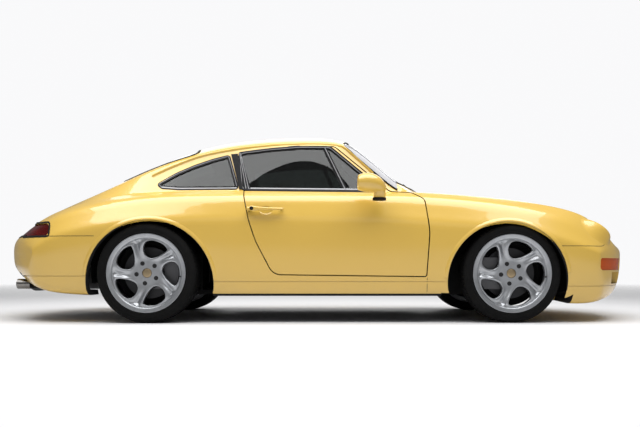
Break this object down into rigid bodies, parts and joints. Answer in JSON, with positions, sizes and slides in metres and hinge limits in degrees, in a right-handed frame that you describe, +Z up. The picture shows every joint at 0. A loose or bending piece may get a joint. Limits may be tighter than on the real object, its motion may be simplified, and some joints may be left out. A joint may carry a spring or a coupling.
{
  "type": "two-door coupe car",
  "caption": "Low two-door coupe car with opening doors, front and engine lids, steered front wheels and four rolling wheels.",
  "frame": {"origin": "on the ground, at the centre of the car's bounding box seen from above", "axes": "+X forward, +Y to the car's left, +Z up"},
  "size_m": [4.245, 1.9754, 1.2499],
  "materials": {
    "paint": "gloss pastel yellow enamel",
    "glass": "tinted safety glass",
    "headlamp_glass": "clear moulded lens",
    "red_lens": "moulded red lens",
    "amber_lens": "moulded amber lens",
    "black_plastic": "grained",
    "underseal": "sealed steel pan",
    "rim": "silver lacquer",
    "tyre": "moulded rubber",
    "iron": "machined and cast",
    "steel": "coated",
    "bright_steel": "polished",
    "leather": "black grained leather"
  },
  "bodies": {
    "chassis": {"body_shell": "paint", "front_fender_left": "paint", "front_fender_right": "paint", "front_bumper": "paint", "rear_bumper": "paint", "windscreen": "glass", "rear_window": "glass", "quarter_windows": "glass", "headlamps": "headlamp_glass", "front_indicators": "amber_lens", "tail_lamps": "red_lens", "wipers": "black_plastic", "underbody": "underseal", "dashboard": "black_plastic", "front_seats": "leather", "rear_seats": "leather", "engine_block": "iron", "exhaust": "bright_steel", "suspension_arms": "steel", "rear_struts": "steel", "rear_hub_carriers": "iron"},
    "front_lid": {"front_lid": "paint"},
    "engine_lid": {"engine_lid": "paint", "engine_grille": "black_plastic"},
    "door_left": {"door_panel_left": "paint", "door_glass_left": "glass", "mirror_left": "paint"},
    "door_right": {"door_panel_right": "paint", "door_glass_right": "glass", "mirror_right": "paint"},
    "steering_wheel": {"steering_wheel": "black_plastic"},
    "knuckle_left": {"front_knuckle_left": "iron"},
    "knuckle_right": {"front_knuckle_right": "iron"},
    "wheel_front_left": {"rim_front_left": "rim", "tyre_front_left": "tyre", "disc_front_left": "iron"},
    "wheel_front_right": {"rim_front_right": "rim", "tyre_front_right": "tyre", "disc_front_right": "iron"},
    "wheel_rear_left": {"rim_rear_left": "rim", "tyre_rear_left": "tyre", "disc_rear_left": "iron"},
    "wheel_rear_right": {"rim_rear_right": "rim", "tyre_rear_right": "tyre", "disc_rear_right": "iron"}
  },
  "joints": [
    {"name": "door_left_hinge", "type": "hinge", "parent": "chassis", "child": "door_left", "pos_m": [0.6613, 0.78698, 0.55], "axis": [0, 0, -1], "range_deg": [0, 62]},
    {"name": "door_right_hinge", "type": "hinge", "parent": "chassis", "child": "door_right", "pos_m": [0.6613, -0.78698, 0.55], "axis": [0, 0, 1], "range_deg": [0, 62]},
    {"name": "front_lid_hinge", "type": "hinge", "parent": "chassis", "child": "front_lid", "pos_m": [0.61, 0, 0.83], "axis": [0, -1, 0], "range_deg": [0, 60]},
    {"name": "engine_lid_hinge", "type": "hinge", "parent": "chassis", "child": "engine_lid", "pos_m": [-1.32, 0, 0.905], "axis": [0, 1, 0], "range_deg": [0, 55]},
    {"name": "steer_left", "type": "hinge", "parent": "chassis", "child": "knuckle_left", "pos_m": [1.2175, 0.6325, 0.3085], "axis": [0, 0, 1], "range_deg": [-27, 27]},
    {"name": "steer_right", "type": "hinge", "parent": "chassis", "child": "knuckle_right", "pos_m": [1.2175, -0.6325, 0.3085], "axis": [0, 0, 1], "range_deg": [-27, 27]},
    {"name": "steering_wheel_turn", "type": "hinge", "parent": "chassis", "child": "steering_wheel", "pos_m": [0.235, 0.35, 0.735], "axis": [-0.9135, 0, 0.4067], "range_deg": [-446, 446]},
    {"name": "wheel_front_left_spin", "type": "hinge", "parent": "knuckle_left", "child": "wheel_front_left", "pos_m": [1.2175, 0.7025, 0.3085], "axis": [0, 1, 0], "continuous": true},
    {"name": "wheel_front_right_spin", "type": "hinge", "parent": "knuckle_right", "child": "wheel_front_right", "pos_m": [1.2175, -0.7025, 0.3085], "axis": [0, 1, 0], "continuous": true},
    {"name": "wheel_rear_left_spin", "type": "hinge", "parent": "chassis", "child": "wheel_rear_left", "pos_m": [-1.0545, 0.722, 0.311], "axis": [0, 1, 0], "continuous": true},
    {"name": "wheel_rear_right_spin", "type": "hinge", "parent": "chassis", "child": "wheel_rear_right", "pos_m": [-1.0545, -0.722, 0.311], "axis": [0, 1, 0], "continuous": true}
  ],
  "couplings": [
    {"joint": "steer_right", "follows": "steer_left", "ratio": 1},
    {"joint": "steering_wheel_turn", "follows": "steer_left", "ratio": 16.5}
  ]
}
